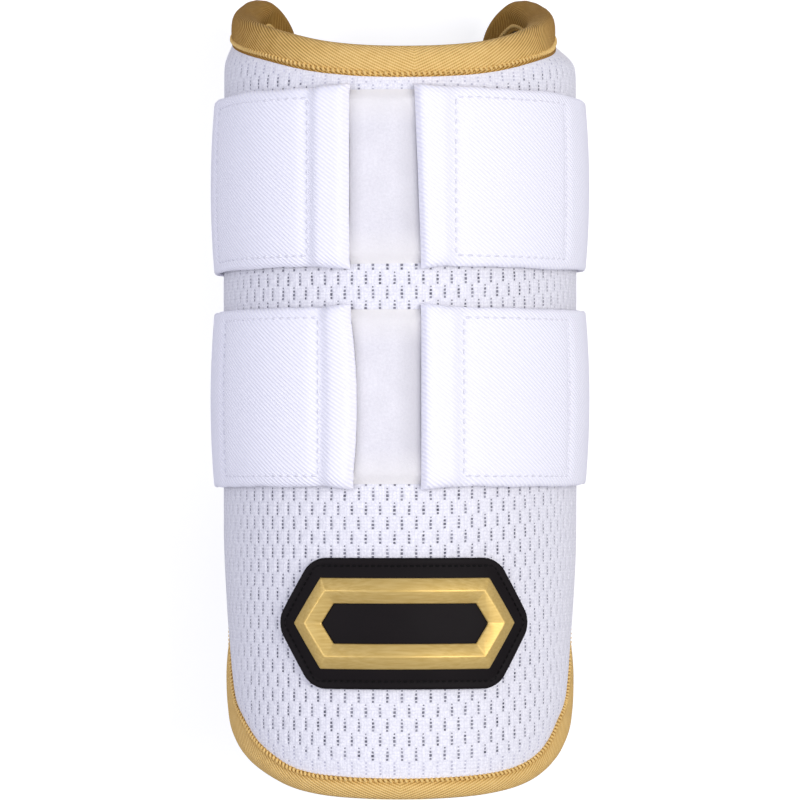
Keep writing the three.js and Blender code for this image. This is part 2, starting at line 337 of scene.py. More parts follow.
# Materials
def colour(hex_value):
    """An sRGB hex value as linear RGBA."""
    channels = [int(hex_value[i:i + 2], 16) / 255 for i in (1, 3, 5)]
    linear = [c / 12.92 if c <= 0.04045 else ((c + 0.055) / 1.055) ** 2.4 for c in channels]
    return (*linear, 1)


def feed(tree, node, inputs):
    """Fills inputs, each from a value, a hex colour, a socket, or a node's first output in use."""
    for name, value in inputs.items():
        if isinstance(value, bpy.types.Node):
            value = next(socket for socket in value.outputs if socket.enabled)
        if isinstance(value, bpy.types.NodeSocket):
            tree.links.new(value, node.inputs[name])
        else:
            node.inputs[name].default_value = colour(value) if isinstance(value, str) else value


def add_node(tree, kind, inputs, **settings):
    """Adds a shader node of a kind, with its settings and its inputs."""
    node = tree.nodes.new("ShaderNode" + kind)
    for name, value in settings.items():
        setattr(node, name, value)
    feed(tree, node, inputs)
    return node


def new_material(name):
    """A new material, its node tree, and the shader on its output."""
    material = bpy.data.materials.new(name)
    material.use_nodes = True
    tree = material.node_tree
    tree.nodes.clear()
    shader = add_node(tree, "BsdfPrincipled", {})
    add_node(tree, "OutputMaterial", {"Surface": shader})
    return material, tree, shader


# A wave texture's scale for a period in millimetres, on coordinates in millimetres
WAVE = 2 * math.pi / 20


def wear_mesh_fabric():
    """Knitted polyester sandwich mesh: matt white with a cool cast, and a fine uneven knit."""
    material, tree, shader = new_material("knitted_sandwich_mesh")
    course = 1.0  # courses and loops are drawn coarser than real, to show
    loop = 0.7
    fuzz_per_mm = 0.9
    place = add_node(tree, "TexCoord", {}).outputs["UV"]
    uneven = {
        "Vector": place,
        "Scale": WAVE / course,
        "Distortion": 5.0,
        "Detail": 2.0,
        "Detail Scale": 4.0,
    }
    wales = add_node(tree, "TexWave", uneven, bands_direction="X")
    rows = add_node(tree, "TexWave", uneven, bands_direction="Y")
    grains = add_node(tree, "TexVoronoi", {"Vector": place, "Scale": 1 / loop, "Randomness": 0.6})
    fuzz = add_node(tree, "TexNoise", {
        "Vector": place,
        "Scale": fuzz_per_mm,
        "Detail": 4.0,
        "Roughness": 0.65,
    })
    grid = add_node(tree, "Math", {0: wales.outputs["Fac"], 1: rows.outputs["Fac"]}, operation="ADD")
    ribbing = add_node(tree, "Math", {0: grid, 1: 0.2}, operation="MULTIPLY")
    yarns = add_node(tree, "Math", {0: fuzz, 1: 0.35, 2: ribbing}, operation="MULTIPLY_ADD")
    height = add_node(tree, "Math", {0: grains, 1: -0.7, 2: yarns}, operation="MULTIPLY_ADD")
    tone = add_node(tree, "MapRange", {"Value": height, "From Min": -0.2, "From Max": 0.4})
    tint = add_node(tree, "Mix", {"Factor": tone, "A": "#DEDDE4", "B": "#F5F4F8"}, data_type="RGBA")
    bump = add_node(tree, "Bump", {"Height": height, "Strength": 0.55, "Distance": 0.2 * MM})
    feed(tree, shader, {
        "Base Color": tint,
        "Normal": bump,
        "Roughness": 0.9,
        "Specular IOR Level": 0.2,
        "Sheen Weight": 0.45,
        "Sheen Roughness": 0.5,
    })
    return material


def wear_mesh_hole(name, dark, light):
    """The floor of a hole, with painted shade: foam painted dark for the shade between the yarns, and
    darker in some holes than others, as if deeper.
    """
    material, tree, shader = new_material(name)
    blots_per_mm = 0.45
    place = add_node(tree, "TexCoord", {}).outputs["UV"]
    mottle = add_node(tree, "TexNoise", {"Vector": place, "Scale": blots_per_mm, "Detail": 3.0})
    # painted shade: the mottle makes some holes darker than others, as if deeper
    depth = add_node(tree, "MapRange", {"Value": mottle, "From Min": 0.3, "From Max": 0.7})
    tint = add_node(tree, "Mix", {"Factor": depth, "A": dark, "B": light}, data_type="RGBA")
    feed(tree, shader, {"Base Color": tint, "Roughness": 1.0, "Specular IOR Level": 0.0})
    return material


def wear_lining():
    """Brushed tricot lining: soft grey with fine lengthwise ribs."""
    material, tree, shader = new_material("brushed_tricot_lining")
    rib = 1.2  # drawn coarser than real, to show
    tufts_per_mm = 2.5
    place = add_node(tree, "TexCoord", {}).outputs["UV"]
    ribs = add_node(tree, "TexWave", {
        "Vector": place,
        "Scale": WAVE / rib,
        "Distortion": 0.6,
        "Detail": 2.0,
    }, bands_direction="X")
    nap = add_node(tree, "TexNoise", {"Vector": place, "Scale": tufts_per_mm, "Detail": 4.0})
    height = add_node(tree, "Math", {0: ribs.outputs["Fac"], 1: nap}, operation="ADD")
    tint = add_node(tree, "Mix", {"Factor": nap, "A": "#8C8B93", "B": "#A9A8B0"}, data_type="RGBA")
    bump = add_node(tree, "Bump", {"Height": height, "Strength": 0.4, "Distance": 0.15 * MM})
    feed(tree, shader, {
        "Base Color": tint,
        "Normal": bump,
        "Roughness": 0.95,
        "Specular IOR Level": 0.15,
        "Sheen Weight": 0.2,
    })
    return material


EAR_MIDDLE = 100  # of each ear, along the tape from the middle of the top
EAR_SHADED = (25, 80)  # painted shade: the tape is painted darker round the ears, where they turn away from the light, and not past these
TAPE_SEAM_SHADE = (1.2, 2.8)  # painted shade too in the sewn seam, across the tape from the end of its leg


def wear_gold_tape():
    """Woven polyester binding tape: satin gold with slanting twill ribs over fine cross threads, with
    painted shade in the sewn seam and round the ears.
    """
    material, tree, shader = new_material("woven_gold_tape")
    rib = 0.75
    rib_slant = -24
    thread = 0.6
    thread_slant = 78
    blots_per_mm = 0.35
    place = add_node(tree, "TexCoord", {}).outputs["UV"]
    rib_place = add_node(tree, "Mapping", {
        "Vector": place,
        "Rotation": (0, 0, math.radians(rib_slant - 90)),
    })
    ribs = add_node(tree, "TexWave", {
        "Vector": rib_place,
        "Scale": WAVE / rib,
        "Distortion": 0.5,
        "Detail": 1.0,
        "Detail Scale": 0.1,
    }, bands_direction="X")
    thread_place = add_node(tree, "Mapping", {
        "Vector": place,
        "Rotation": (0, 0, math.radians(thread_slant - 90)),
    })
    threads = add_node(tree, "TexWave", {
        "Vector": thread_place,
        "Scale": WAVE / thread,
        "Distortion": 0.6,
        "Detail Scale": 0.4,
    }, bands_direction="X")
    mottle = add_node(tree, "TexNoise", {"Vector": place, "Scale": blots_per_mm, "Detail": 4.0})
    weave = add_node(tree, "Math", {
        0: threads.outputs["Fac"],
        1: 0.3,
        2: ribs.outputs["Fac"],
    }, operation="MULTIPLY_ADD")
    shade = add_node(tree, "Math", {0: mottle, 1: 0.6, 2: weave}, operation="MULTIPLY_ADD")
    split = add_node(tree, "SeparateXYZ", {"Vector": place})
    # painted shade: darker in the sewn seam, lighter past it
    clear_of_seam_shade = add_node(tree, "MapRange", {
        "Value": split.outputs["Y"],
        "From Min": TAPE_SEAM_SHADE[0],
        "From Max": TAPE_SEAM_SHADE[1],
    })
    sewn = add_node(tree, "Math", {0: clear_of_seam_shade, 1: 0.7, 2: shade}, operation="MULTIPLY_ADD")
    # painted shade: darker round the ears, where they turn away from the light
    from_ear = add_node(tree, "Math", {0: split.outputs["X"], 1: EAR_MIDDLE}, operation="SUBTRACT")
    either_side = add_node(tree, "Math", {0: from_ear}, operation="ABSOLUTE")
    clear_of_ear_shade = add_node(tree, "MapRange", {
        "Value": either_side,
        "From Min": EAR_SHADED[0],
        "From Max": EAR_SHADED[1],
    })
    with_ear_shade = add_node(tree, "Math", {0: clear_of_ear_shade, 1: 1.1, 2: sewn}, operation="MULTIPLY_ADD")
    tone = add_node(tree, "MapRange", {"Value": with_ear_shade, "From Min": 1.55, "From Max": 3.65})
    ramp = add_node(tree, "ValToRGB", {"Fac": tone})
    ramp.color_ramp.elements[0].color = colour("#966B28")
    ramp.color_ramp.elements[1].color = colour("#F9DA98")
    middle = ramp.color_ramp.elements.new(0.5)
    middle.color = colour("#E2B86C")
    bump = add_node(tree, "Bump", {"Height": weave, "Strength": 0.7, "Distance": 0.26 * MM})
    feed(tree, shader, {"Base Color": ramp, "Normal": bump, "Roughness": 0.7, "Specular IOR Level": 0.1})
    return material


def wear_elastic():
    """Woven elastic webbing: bright white with shallow slanting twill lines in a cool shade."""
    material, tree, shader = new_material("woven_elastic_webbing")
    rib = 0.95
    rib_angle = 52
    fibres_per_mm = 2.2
    place = add_node(tree, "TexCoord", {}).outputs["UV"]
    turned = add_node(tree, "Mapping", {
        "Vector": place,
        "Rotation": (0, 0, math.radians(-180 + rib_angle)),
    })
    ribs = add_node(tree, "TexWave", {
        "Vector": turned,
        "Scale": WAVE / rib,
        "Distortion": 0.7,
        "Detail": 1.0,
        "Detail Scale": 0.1,
    }, bands_direction="X")
    fibre = add_node(tree, "TexNoise", {"Vector": place, "Scale": fibres_per_mm, "Detail": 3.0})
    height = add_node(tree, "Math", {0: fibre, 1: 0.12, 2: ribs.outputs["Fac"]}, operation="MULTIPLY_ADD")
    tone = add_node(tree, "MapRange", {"Value": height, "From Min": 0.0, "From Max": 0.8})
    tint = add_node(tree, "Mix", {"Factor": tone, "A": "#F0EFFA", "B": "#F9F8FE"}, data_type="RGBA")
    bump = add_node(tree, "Bump", {"Height": height, "Strength": 0.7, "Distance": 0.2 * MM})
    feed(tree, shader, {
        "Base Color": tint,
        "Normal": bump,
        "Roughness": 0.75,
        "Specular IOR Level": 0.3,
        "Sheen Weight": 0.1,
    })
    return material


PILE_MIDDLE = -5.5  # the middle between the strap ends, clear of the painted shade, along the patch from the front line
PILE_FLAP_SHADE = (4.0, 11.0)  # painted shade: from there the pile is painted greyer towards the strap ends, for their shadow
PILE_MARGIN = (14.0, 25.0)  # paler towards the woven margins, from the middle of the patch


def wear_fleece():
    """Brushed nylon loop pile: a soft, uneven, matt white nap with a cool grey cast, and painted shade
    beside the strap ends.
    """
    material, tree, shader = new_material("brushed_loop_pile")
    tufts_per_mm = 1.3
    drifts_per_mm = 0.12
    place = add_node(tree, "TexCoord", {}).outputs["UV"]
    nap = add_node(tree, "TexNoise", {
        "Vector": place,
        "Scale": tufts_per_mm,
        "Detail": 6.0,
        "Roughness": 0.7,
    })
    drift = add_node(tree, "TexNoise", {"Vector": place, "Scale": drifts_per_mm, "Detail": 2.0})
    tone = add_node(tree, "Math", {0: nap, 1: 2.0, 2: drift}, operation="MULTIPLY_ADD")
    spread = add_node(tree, "MapRange", {"Value": tone, "From Min": 0.95, "From Max": 2.05})
    tint = add_node(tree, "Mix", {"Factor": spread, "A": "#DAD8DC", "B": "#EDEBEE"}, data_type="RGBA")
    split = add_node(tree, "SeparateXYZ", {"Vector": place})
    from_middle = add_node(tree, "Math", {0: split.outputs["X"], 1: PILE_MIDDLE}, operation="SUBTRACT")
    aside = add_node(tree, "Math", {0: from_middle}, operation="ABSOLUTE")
    # painted shade: greyer towards the strap ends, for the shadow they cast on the pile
    flap_shade = add_node(tree, "MapRange", {
        "Value": aside,
        "From Min": PILE_FLAP_SHADE[0],
        "From Max": PILE_FLAP_SHADE[1],
    })
    with_flap_shade = add_node(tree, "Mix", {"Factor": flap_shade, "A": tint, "B": "#C6C4C7"}, data_type="RGBA")
    across = add_node(tree, "Math", {0: split.outputs["Y"]}, operation="ABSOLUTE")
    margin = add_node(tree, "MapRange", {
        "Value": across,
        "From Min": PILE_MARGIN[0],
        "From Max": PILE_MARGIN[1],
    })
    bordered = add_node(tree, "Mix", {"Factor": margin, "A": with_flap_shade, "B": "#ECE9E6"}, data_type="RGBA")
    bump = add_node(tree, "Bump", {"Height": nap, "Strength": 0.6, "Distance": 0.3 * MM})
    feed(tree, shader, {
        "Base Color": bordered,
        "Normal": bump,
        "Roughness": 1.0,
        "Specular IOR Level": 0.1,
        "Sheen Weight": 0.35,
        "Sheen Roughness": 0.6,
    })
    return material


def wear_hook_tape():
    """Moulded nylon hook tape: white, with rows of fine hooks that catch the light."""
    material, tree, shader = new_material("moulded_hook_tape")
    hook = 1.4 * MM
    place = add_node(tree, "TexCoord", {}).outputs["Object"]
    hooks = add_node(tree, "TexVoronoi", {"Vector": place, "Scale": 1 / hook})
    tint = add_node(tree, "Mix", {"Factor": hooks, "A": "#F1F0F6", "B": "#C9C8D2"}, data_type="RGBA")
    bump = add_node(tree, "Bump", {"Height": hooks, "Strength": 0.7, "Distance": 0.3 * MM})
    feed(tree, shader, {"Base Color": tint, "Normal": bump, "Roughness": 0.5, "IOR": 1.53})
    return material


def wear_rubber():
    """Moulded soft rubber: near black, a low sheen broken by a fine moulded grain."""
    material, tree, shader = new_material("moulded_black_rubber")
    grain_size = 0.5 * MM
    smears_per_mm = 0.09
    place = add_node(tree, "TexCoord", {}).outputs["Object"]
    grain = add_node(tree, "TexNoise", {"Vector": place, "Scale": 1 / grain_size, "Detail": 3.0})
    smear = add_node(tree, "TexNoise", {"Vector": place, "Scale": smears_per_mm / MM, "Detail": 3.0})
    tint = add_node(tree, "Mix", {"Factor": smear, "A": "#0E0A0B", "B": "#1A1516"}, data_type="RGBA")
    gloss = add_node(tree, "MapRange", {"Value": smear, "To Min": 0.5, "To Max": 0.75})
    bump = add_node(tree, "Bump", {"Height": grain, "Strength": 0.25, "Distance": 0.1 * MM})
    feed(tree, shader, {
        "Base Color": tint,
        "Normal": bump,
        "Roughness": gloss,
        "Specular IOR Level": 0.12,
    })
    return material


def wear_gilt():
    """Satin gilt plating: warm gold, brushed softly along its length, brighter on its ridges."""
    material, tree, shader = new_material("satin_gilt")
    brush = [per_mm / MM for per_mm in (0.15, 1.8, 1.8)]  # long lines along X
    place = add_node(tree, "TexCoord", {}).outputs["Object"]
    stretched = add_node(tree, "Mapping", {"Vector": place, "Scale": brush})
    brushing = add_node(tree, "TexNoise", {"Vector": stretched, "Scale": 1.0, "Detail": 3.0})
    tint = add_node(tree, "Mix", {"Factor": brushing, "A": "#C7A24C", "B": "#EBD08A"}, data_type="RGBA")
    gloss = add_node(tree, "MapRange", {"Value": brushing, "To Min": 0.42, "To Max": 0.6})
    bump = add_node(tree, "Bump", {"Height": brushing, "Strength": 0.1, "Distance": 0.05 * MM})
    feed(tree, shader, {"Base Color": tint, "Normal": bump, "Roughness": gloss, "Metallic": 0.75})
    return material


def wear_thread(name, dark, light):
    """Twisted polyester thread: two plies that show as a fine slanting light and dark."""
    material, tree, shader = new_material(name)
    ply = 0.5 * MM
    place = add_node(tree, "TexCoord", {}).outputs["Object"]
    twist = add_node(tree, "TexNoise", {"Vector": place, "Scale": 1 / ply, "Detail": 2.0})
    tint = add_node(tree, "Mix", {"Factor": twist, "A": dark, "B": light}, data_type="RGBA")
    feed(tree, shader, {"Base Color": tint, "Roughness": 0.6, "Specular IOR Level": 0.12})
    return material


mesh_fabric = wear_mesh_fabric()
# painted shade: dark foam in the open pin-holes, standing in for the shadow inside them
mesh_hole = wear_mesh_hole("foam_and_painted_shade_in_pin_holes", "#4E4E5A", "#A6A6B1")
mesh_dent = wear_mesh_hole("shade_in_closed_holes", "#A9A8B6", "#DDDCE8")
lining = wear_lining()
gold_tape = wear_gold_tape()
elastic = wear_elastic()
fleece = wear_fleece()
hook_tape = wear_hook_tape()
rubber = wear_rubber()
gilt = wear_gilt()
white_thread = wear_thread("white_sewing_thread", "#D4D3DC", "#F6F5FB")
gold_thread = wear_thread("gold_sewing_thread", "#CFA251", "#FADB95")
black_thread = wear_thread("black_sewing_thread", "#040404", "#121112")


def finish_piece(piece, material, slot, *nodes):
    """Gives a finished piece its material, rides it on the guard and hides the solids it stands for."""
    piece.data.materials.append(material)
    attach(piece, "root")
    if nodes:
        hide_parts(*nodes)


# The padded panel
HOLE_PITCH = 4.0  # between columns of pin-holes, with the next row shifted by half
CELL_WRAP = HOLE_PITCH / 4
CELL_HEIGHT = 0.99
ROWS_IN_PATTERN = 8  # a group and its gap, twice
HOLE_RINGS = [0.2, 0.15, 0.2, 0.29]  # the rim of each hole in a group, from its lowest up
HOLE_DEPTH = 0.28
DENT_RING = 0.22
DENT_DEPTH = 0.12
PLAIN_BORDER = (5, 3.4)  # beside the tape the knit is stretched and its holes close up, less at the top
KNIT_WANDER = 0.14  # how far the yarns wander
KNIT_SEED = 5
YARN_LENGTH = 2.2
SKEW = 0.0012  # the knit's courses rise towards the right side
SKEW_ENDS = 60  # past this they rise evenly
HOLES_START = 0.5  # no hole is nearer the tape
BORDER_NARROWS = (30, 85)
CLOSED = -1  # the mark of a hole that has closed up
LINING_CELL = 4.0
PANEL_REACH = (132, 115.83)  # half the flat grid, round the arm and along it
FACE_TRIM = RAW_EDGE + 1.5
LINING_TRIM = RAW_EDGE + 2
TURNED_UNDER = (0.35, 0.65)  # where the edges of the face and the lining lie in the thickness
FOAM_WAVER = 0.25  # how far the foam's face wavers, except beside the tape
FOAM_LENGTH = 28
FOAM_CALM = 8
EAR_SLACK = 0.8  # the share of the ears' lean that the cloth inside the tape doesn't follow
SLACK_RUN = 7


def skew(wrap):
    """How far the knit's courses have risen at a place round the arm."""
    if wrap < SKEW_ENDS:
        return SKEW * max(wrap, 0) ** 2
    return SKEW * SKEW_ENDS * (2 * wrap - SKEW_ENDS)


def flat_cloth(name, cell_wrap, cell_height, keep):
    """A flat grid of cells, in millimetres, trimmed to the part more than keep inside the edge."""
    select_none()
    columns = round(2 * PANEL_REACH[0] / cell_wrap)
    rows = round(2 * PANEL_REACH[1] / cell_height)
    bpy.ops.mesh.primitive_grid_add(x_subdivisions=columns, y_subdivisions=rows, size=1)
    cloth = bpy.context.object
    cloth.name = name
    cloth.scale = (columns * cell_wrap, rows * cell_height, 1)
    bpy.ops.object.transform_apply(location=False, rotation=False, scale=True)
    for vertex in cloth.data.vertices:
        vertex.co.y += skew(vertex.co.x)
    select_faces(cloth, lambda face: nearest_edge(face.center)[0] < keep)
    bpy.ops.mesh.delete(type="FACE")
    bpy.ops.object.mode_set(mode="OBJECT")
    return cloth


def turn_under(cloth, depth):
    """Carries the trimmed border out to the raw edge, at a depth below the outer face."""
    bpy.ops.object.mode_set(mode="EDIT")
    select_borders()
    bpy.ops.mesh.extrude_edges_move()
    bpy.ops.object.mode_set(mode="OBJECT")
    for vertex in cloth.data.vertices:
        if vertex.select:
            _, nearest = nearest_edge(vertex.co)
            spot = edge_places[nearest] + edge_inward[nearest] * RAW_EDGE
            vertex.co = (spot.x, spot.y, -depth)


def hole_row(face):
    """The row of the knit's pattern that a cell lies in, or None between the columns of holes."""
    column = math.floor(face.center.x / CELL_WRAP)
    row = math.floor((face.center.y - skew(face.center.x)) / CELL_HEIGHT)
    if column % 2:
        return None
    shift = ROWS_IN_PATTERN // 2 if column % 4 else 0
    return (row + shift) % ROWS_IN_PATTERN


def mark_holes(panel):
    """Marks each hole by its row in the group, and those that the stretch beside the tape closes."""
    marks = [0] * len(panel.data.polygons)
    for face in panel.data.polygons:
        row = hole_row(face)
        if row is None or row >= len(HOLE_RINGS):
            continue
        from_tape = tape_distance(face.center)
        border = lerp(*PLAIN_BORDER, smoothstep(face.center.y, *BORDER_NARROWS))
        if from_tape > border:
            marks[face.index] = row + 1
        elif from_tape >= HOLES_START:
            marks[face.index] = CLOSED
    panel.data.attributes.new("mark", "INT", "FACE").data.foreach_set("value", marks)


def press_holes(panel, mark, ring, depth, material):
    """Sinks the floor of each cell with this mark and gives it its own material."""
    slot = panel.data.materials.find(material.name)
    marks = [0] * len(panel.data.polygons)
    panel.data.attributes["mark"].data.foreach_get("value", marks)
    select_faces(panel, lambda face: marks[face.index] == mark)
    bpy.ops.mesh.inset(thickness=ring, depth=-depth, use_individual=True)
    bpy.ops.object.mode_set(mode="OBJECT")
    for face in panel.data.polygons:
        if face.select:
            face.material_index = slot


def make_panel():
    panel = flat_cloth("mesh_panel", CELL_WRAP, CELL_HEIGHT, FACE_TRIM)
    for material in (mesh_fabric, mesh_hole, mesh_dent, lining):
        panel.data.materials.append(material)
    mark_holes(panel)
    press_holes(panel, CLOSED, DENT_RING, DENT_DEPTH, mesh_dent)
    for row, ring in enumerate(HOLE_RINGS):
        press_holes(panel, row + 1, ring, HOLE_DEPTH, mesh_hole)
    turn_under(panel, PANEL_THICKNESS * TURNED_UNDER[0])

    inside = flat_cloth("lining", LINING_CELL, LINING_CELL, LINING_TRIM)
    for vertex in inside.data.vertices:
        vertex.co.z = -PANEL_THICKNESS
    inside.data.materials.append(lining)
    turn_under(inside, PANEL_THICKNESS * TURNED_UNDER[1])

    select_only(panel)
    inside.select_set(True)
    bpy.ops.object.join()
    bpy.ops.object.mode_set(mode="EDIT")
    select_borders()
    bpy.ops.mesh.bridge_edge_loops()
    bpy.ops.object.mode_set(mode="OBJECT")

    mesh = panel.data
    while mesh.uv_layers:
        mesh.uv_layers.remove(mesh.uv_layers[0])
    layer = mesh.uv_layers.new(name="flat")
    for loop in mesh.loops:
        layer.data[loop.index].uv = mesh.vertices[loop.vertex_index].co.xy
    for vertex in mesh.vertices:
        vertex.co = puffed(vertex.co)
    face_outwards(panel)
    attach(panel, "root")
    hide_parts("shell_panel")


def puffed(flat):
    """A point of the flat panel, rolled up on soft foam that swells beside the tape."""
    outer, inner, from_tape = panel_faces(flat)
    spot = Vector((flat.x, flat.y, 0))
    softness = FOAM_WAVER * noise.noise(spot / FOAM_LENGTH) * smoothstep(from_tape, 0, FOAM_CALM)
    radius = outer + softness + flat.z * (outer - inner) / PANEL_THICKNESS
    slack = EAR_SLACK * smoothstep(from_tape, 0, SLACK_RUN)
    uneven = noise.noise_vector(spot / YARN_LENGTH) * KNIT_WANDER
    return rolled(flat + uneven, radius, slack)


noise.seed_set(KNIT_SEED)  # or else the wander would change with the clock
make_panel()


# The binding tape
EAR_SWELL = 2.0  # the fold is fuller where it turns over the ears
EAR_HEIGHTS = (97, 112)
CORNER_BULGE = 1.0  # and stands out further round the lower corners
SEWN_END = 1.9  # the flat sewn end of each leg
FOLD_RUN = 2.2  # from the edge to where the fold starts to round


def make_tape():
    outside = EDGE_OUTER + GAP + TAPE_WALL
    inside = EDGE_INNER - GAP - TAPE_WALL
    rings = []
    for place, inward in zip(edge_places, edge_inward):
        leg = tape_leg(place.y)
        sewn = leg - SEWN_END
        swell = EAR_SWELL * smoothstep(place.y, *EAR_HEIGHTS)
        bulge = CORNER_BULGE * in_corner(place.y)
        # Half the section, from the leg's cut end to the fold: inset, radius, share of the swell
        half = [
            (leg - 0.1, outside - 0.7, 0),
            (leg + 0.05, outside - 0.4, 0),
            (leg - 0.1, outside - 0.1, 0),
            (leg - 0.5, outside + 0.1, 0),
            (leg - 1.2, outside + 0.1, 0),
            (sewn, outside + 0.2, 0.1),
            (lerp(sewn, FOLD_RUN, 0.35), outside + 0.3, 0.5),
            (lerp(sewn, FOLD_RUN, 0.7), outside + 0.25, 1),
            (FOLD_RUN, outside, 1),
            (1.4, outside - 0.35, 0.9),
            (0.75, outside - 0.85, 0.7),
            (0.3, lerp(EDGE_MIDDLE, outside, 0.55), 0.4),
        ]
        front = [(inset, radius + bulge * full) for inset, radius, full in half] + [(0, EDGE_MIDDLE)]
        back = []
        for inset, radius, full in reversed(half):
            back.append((inset, 2 * EDGE_MIDDLE - radius - swell * full))
        channel = [(2.3, inside + TAPE_WALL), (1.6, EDGE_MIDDLE), (2.3, outside - TAPE_WALL)]
        profile = front + back + channel
        rings.append([rolled(place + inward * inset, radius) for inset, radius in profile])
    across = []
    for ring in rings:
        lengths = [(b - a).length / MM for a, b in zip(ring, ring[1:])]
        across.append([sum(lengths[:k]) for k in range(len(ring))])
    step = edge_length / EDGE_POINTS
    tape = skin(
        "binding_tape",
        rings,
        lambda ring, point: (abs(ring * step - edge_length / 2), across[ring % EDGE_POINTS][point]),
        closed=True,
    )
    finish_piece(tape, gold_tape, "gold_tape", "edge_binding")


make_tape()


# Straps
EDGE_DROOP = 1.5  # how far the free edges outside the sewn box settle towards the panel
DROOP_RUN = (-SEAM_INSET, 1)  # across the strap, from its edge
DROOP_FADES = (40, 75)
SIDE_BOW = 1.1  # how far the middle of the band stands out from its edges at the sides
BOW_FADES = (95, 130)
EDGE_WAVE = 0.3  # how far the band's edges waver
WAVE_LENGTH = 6
WAVE_STARTS = 20  # it grows over this run past the back's corner
TAB_FLARE = 0.7  # how far the pull tab's edges stand out past the band's
SIDE_TURN = (50, 88)
STRAP_MM = math.radians(STRAP_RADIUS)  # along the strap, per degree
STRAP_RIM = 0.9  # how far in its rounded edges reach
SECTION_STEP = 1.3
TIP_SECTIONS = (1.5, 1.0, 0.6, 0.32, 0.12, 0.02)  # short of the tip, in degrees
BACK_SECTIONS = 12  # from the middle of the back to its corner
CORNER_SECTIONS = 12

# Where sewn lines pull the strap's face in: how deep and how wide
TAB_DIP = (0.6, 2.0)
FAR_DIP = (0.65, 1.2)
SIDE_DIP = (0.45, 0.8)
DIP_FADES = (-1, 0.5)  # past the corners of the hook box


def columns_across(width, rims, inset, count):
    """Heights across a band: a few close to each edge, and even steps between."""
    half = width / 2
    flat = half - inset
    even = [lerp(-flat, flat, k / count) for k in range(count + 1)]
    return [rim - half for rim in rims] + even + [half - rim for rim in reversed(rims)]


STRAP_COLUMNS = columns_across(STRAP_WIDTH, (0.06, 0.25, 0.6), inset=1.2, count=30)


def strap_height(angle, across, end):
    """Where a point across the strap stands: flared at the pull tab, drawn in at the arm's side."""
    _, _, tip, tab_seam, _, _, _, draw_in, sink = end
    on_tab = smoothstep(angle, tab_seam, tip)
    at_side = smoothstep(angle, *SIDE_TURN) * (1 - smoothstep(angle, *BOW_FADES))
    level = 2 * across / STRAP_WIDTH
    return across + level * (TAB_FLARE * on_tab - draw_in * at_side) - sink * at_side


def strap_faces(angle, across, end):
    """A strap end's inner and outer radius at an angle and a height across it."""
    tip, tab_seam = end[2:4]
    base = lerp(STRAP_RADIUS, STRAP_BACK_RADIUS, smoothstep(angle, LEAVES_HOOK, MEETS_PANEL))
    thickness = STRAP_THICKNESS
    lift = 0
    if angle < tab_seam:
        from_seam = (tab_seam - angle) * STRAP_MM
        to_tip = max(angle - tip, 0) * STRAP_MM
        sink = TAB_SINK * min((tab_seam - angle) / (tab_seam - tip), 1)
        thickness = lerp(STRAP_THICKNESS, HEM_THICKNESS + sink, smoothstep(from_seam, 0, HEM_RUN))
        roundness = (1 - (1 - min(to_tip / TIP_RUN, 1)) ** 2) ** TIP_FULLNESS
        lift = TIP_LEVEL * thickness * (1 - roundness) - sink
        thickness *= roundness
    free_edge = smoothstep(abs(across) - STRAP_WIDTH / 2, *DROOP_RUN)
    at_side = smoothstep(angle, *DROOP_FADES)
    lift -= EDGE_DROOP * free_edge * (1 - at_side)
    level = 2 * across / STRAP_WIDTH
    lift -= SIDE_BOW * level * level * at_side * (1 - smoothstep(angle, *BOW_FADES))
    return base + lift, base + lift + thickness - seam_dip(angle, across, end)


def dip(distance, depth, width):
    return depth * math.exp(-((distance / width) ** 2))


def seam_dip(angle, across, end):
    """How far the sewn lines of the hook box pull the strap's face in."""
    tab_seam, far_seam = end[3:5]
    seam_height = STRAP_WIDTH / 2 - SEAM_INSET
    in_height = smoothstep(seam_height - abs(across), *DIP_FADES)
    in_angle = smoothstep(min(angle - tab_seam, far_seam - angle) * STRAP_MM, *DIP_FADES)
    tab = dip((angle - tab_seam) * STRAP_MM, *TAB_DIP)
    far = in_height * dip((angle - far_seam) * STRAP_MM, *FAR_DIP)
    side = in_angle * dip(abs(across) - seam_height, *SIDE_DIP)
    return max(tab, far, side)


def strap_angles(end):
    """The angles of a strap end's cross-sections, from its side to its tip, closer at the tip."""
    tip = end[2]
    first = 180 - corner_sweep()
    last = tip + TIP_SECTIONS[0]
    count = math.ceil((first - last) / SECTION_STEP)
    angles = [lerp(first, last, k / count) for k in range(1, count + 1)]
    return angles + [tip + short for short in TIP_SECTIONS[1:]]


def corner_sweep():
    """How far round its corner the strap turns, from the flat back to the arm's side."""
    from_axis = STRAP_BACK_RADIUS - CORNER_RADIUS
    return math.degrees(math.acos((BACK_DEPTH - CORNER_RADIUS) / from_axis))


def edge_round(across):
    """How full the strap is at a height across it: 1, falling to 0 at its rounded edges."""
    inset = min((STRAP_WIDTH / 2 - abs(across)) / STRAP_RIM, 1)
    return math.sqrt(max(1 - (1 - inset) ** 2, 0))


def strap_ring(section):
    """One closed section: up the strap's inner face and down its outer one."""
    half = STRAP_WIDTH / 2
    inner = []
    outer = []
    for across in STRAP_COLUMNS:
        low, high = section(across)
        middle = (low + high) / 2
        full = edge_round(across)
        inner.append((across, lerp(middle, low, full)))
        outer.append((across, lerp(middle, high, full)))
    middles = [sum(section(edge)) / 2 for edge in (-half, half)]
    return [(-half, middles[0]), *inner, (half, middles[1]), *reversed(outer)]


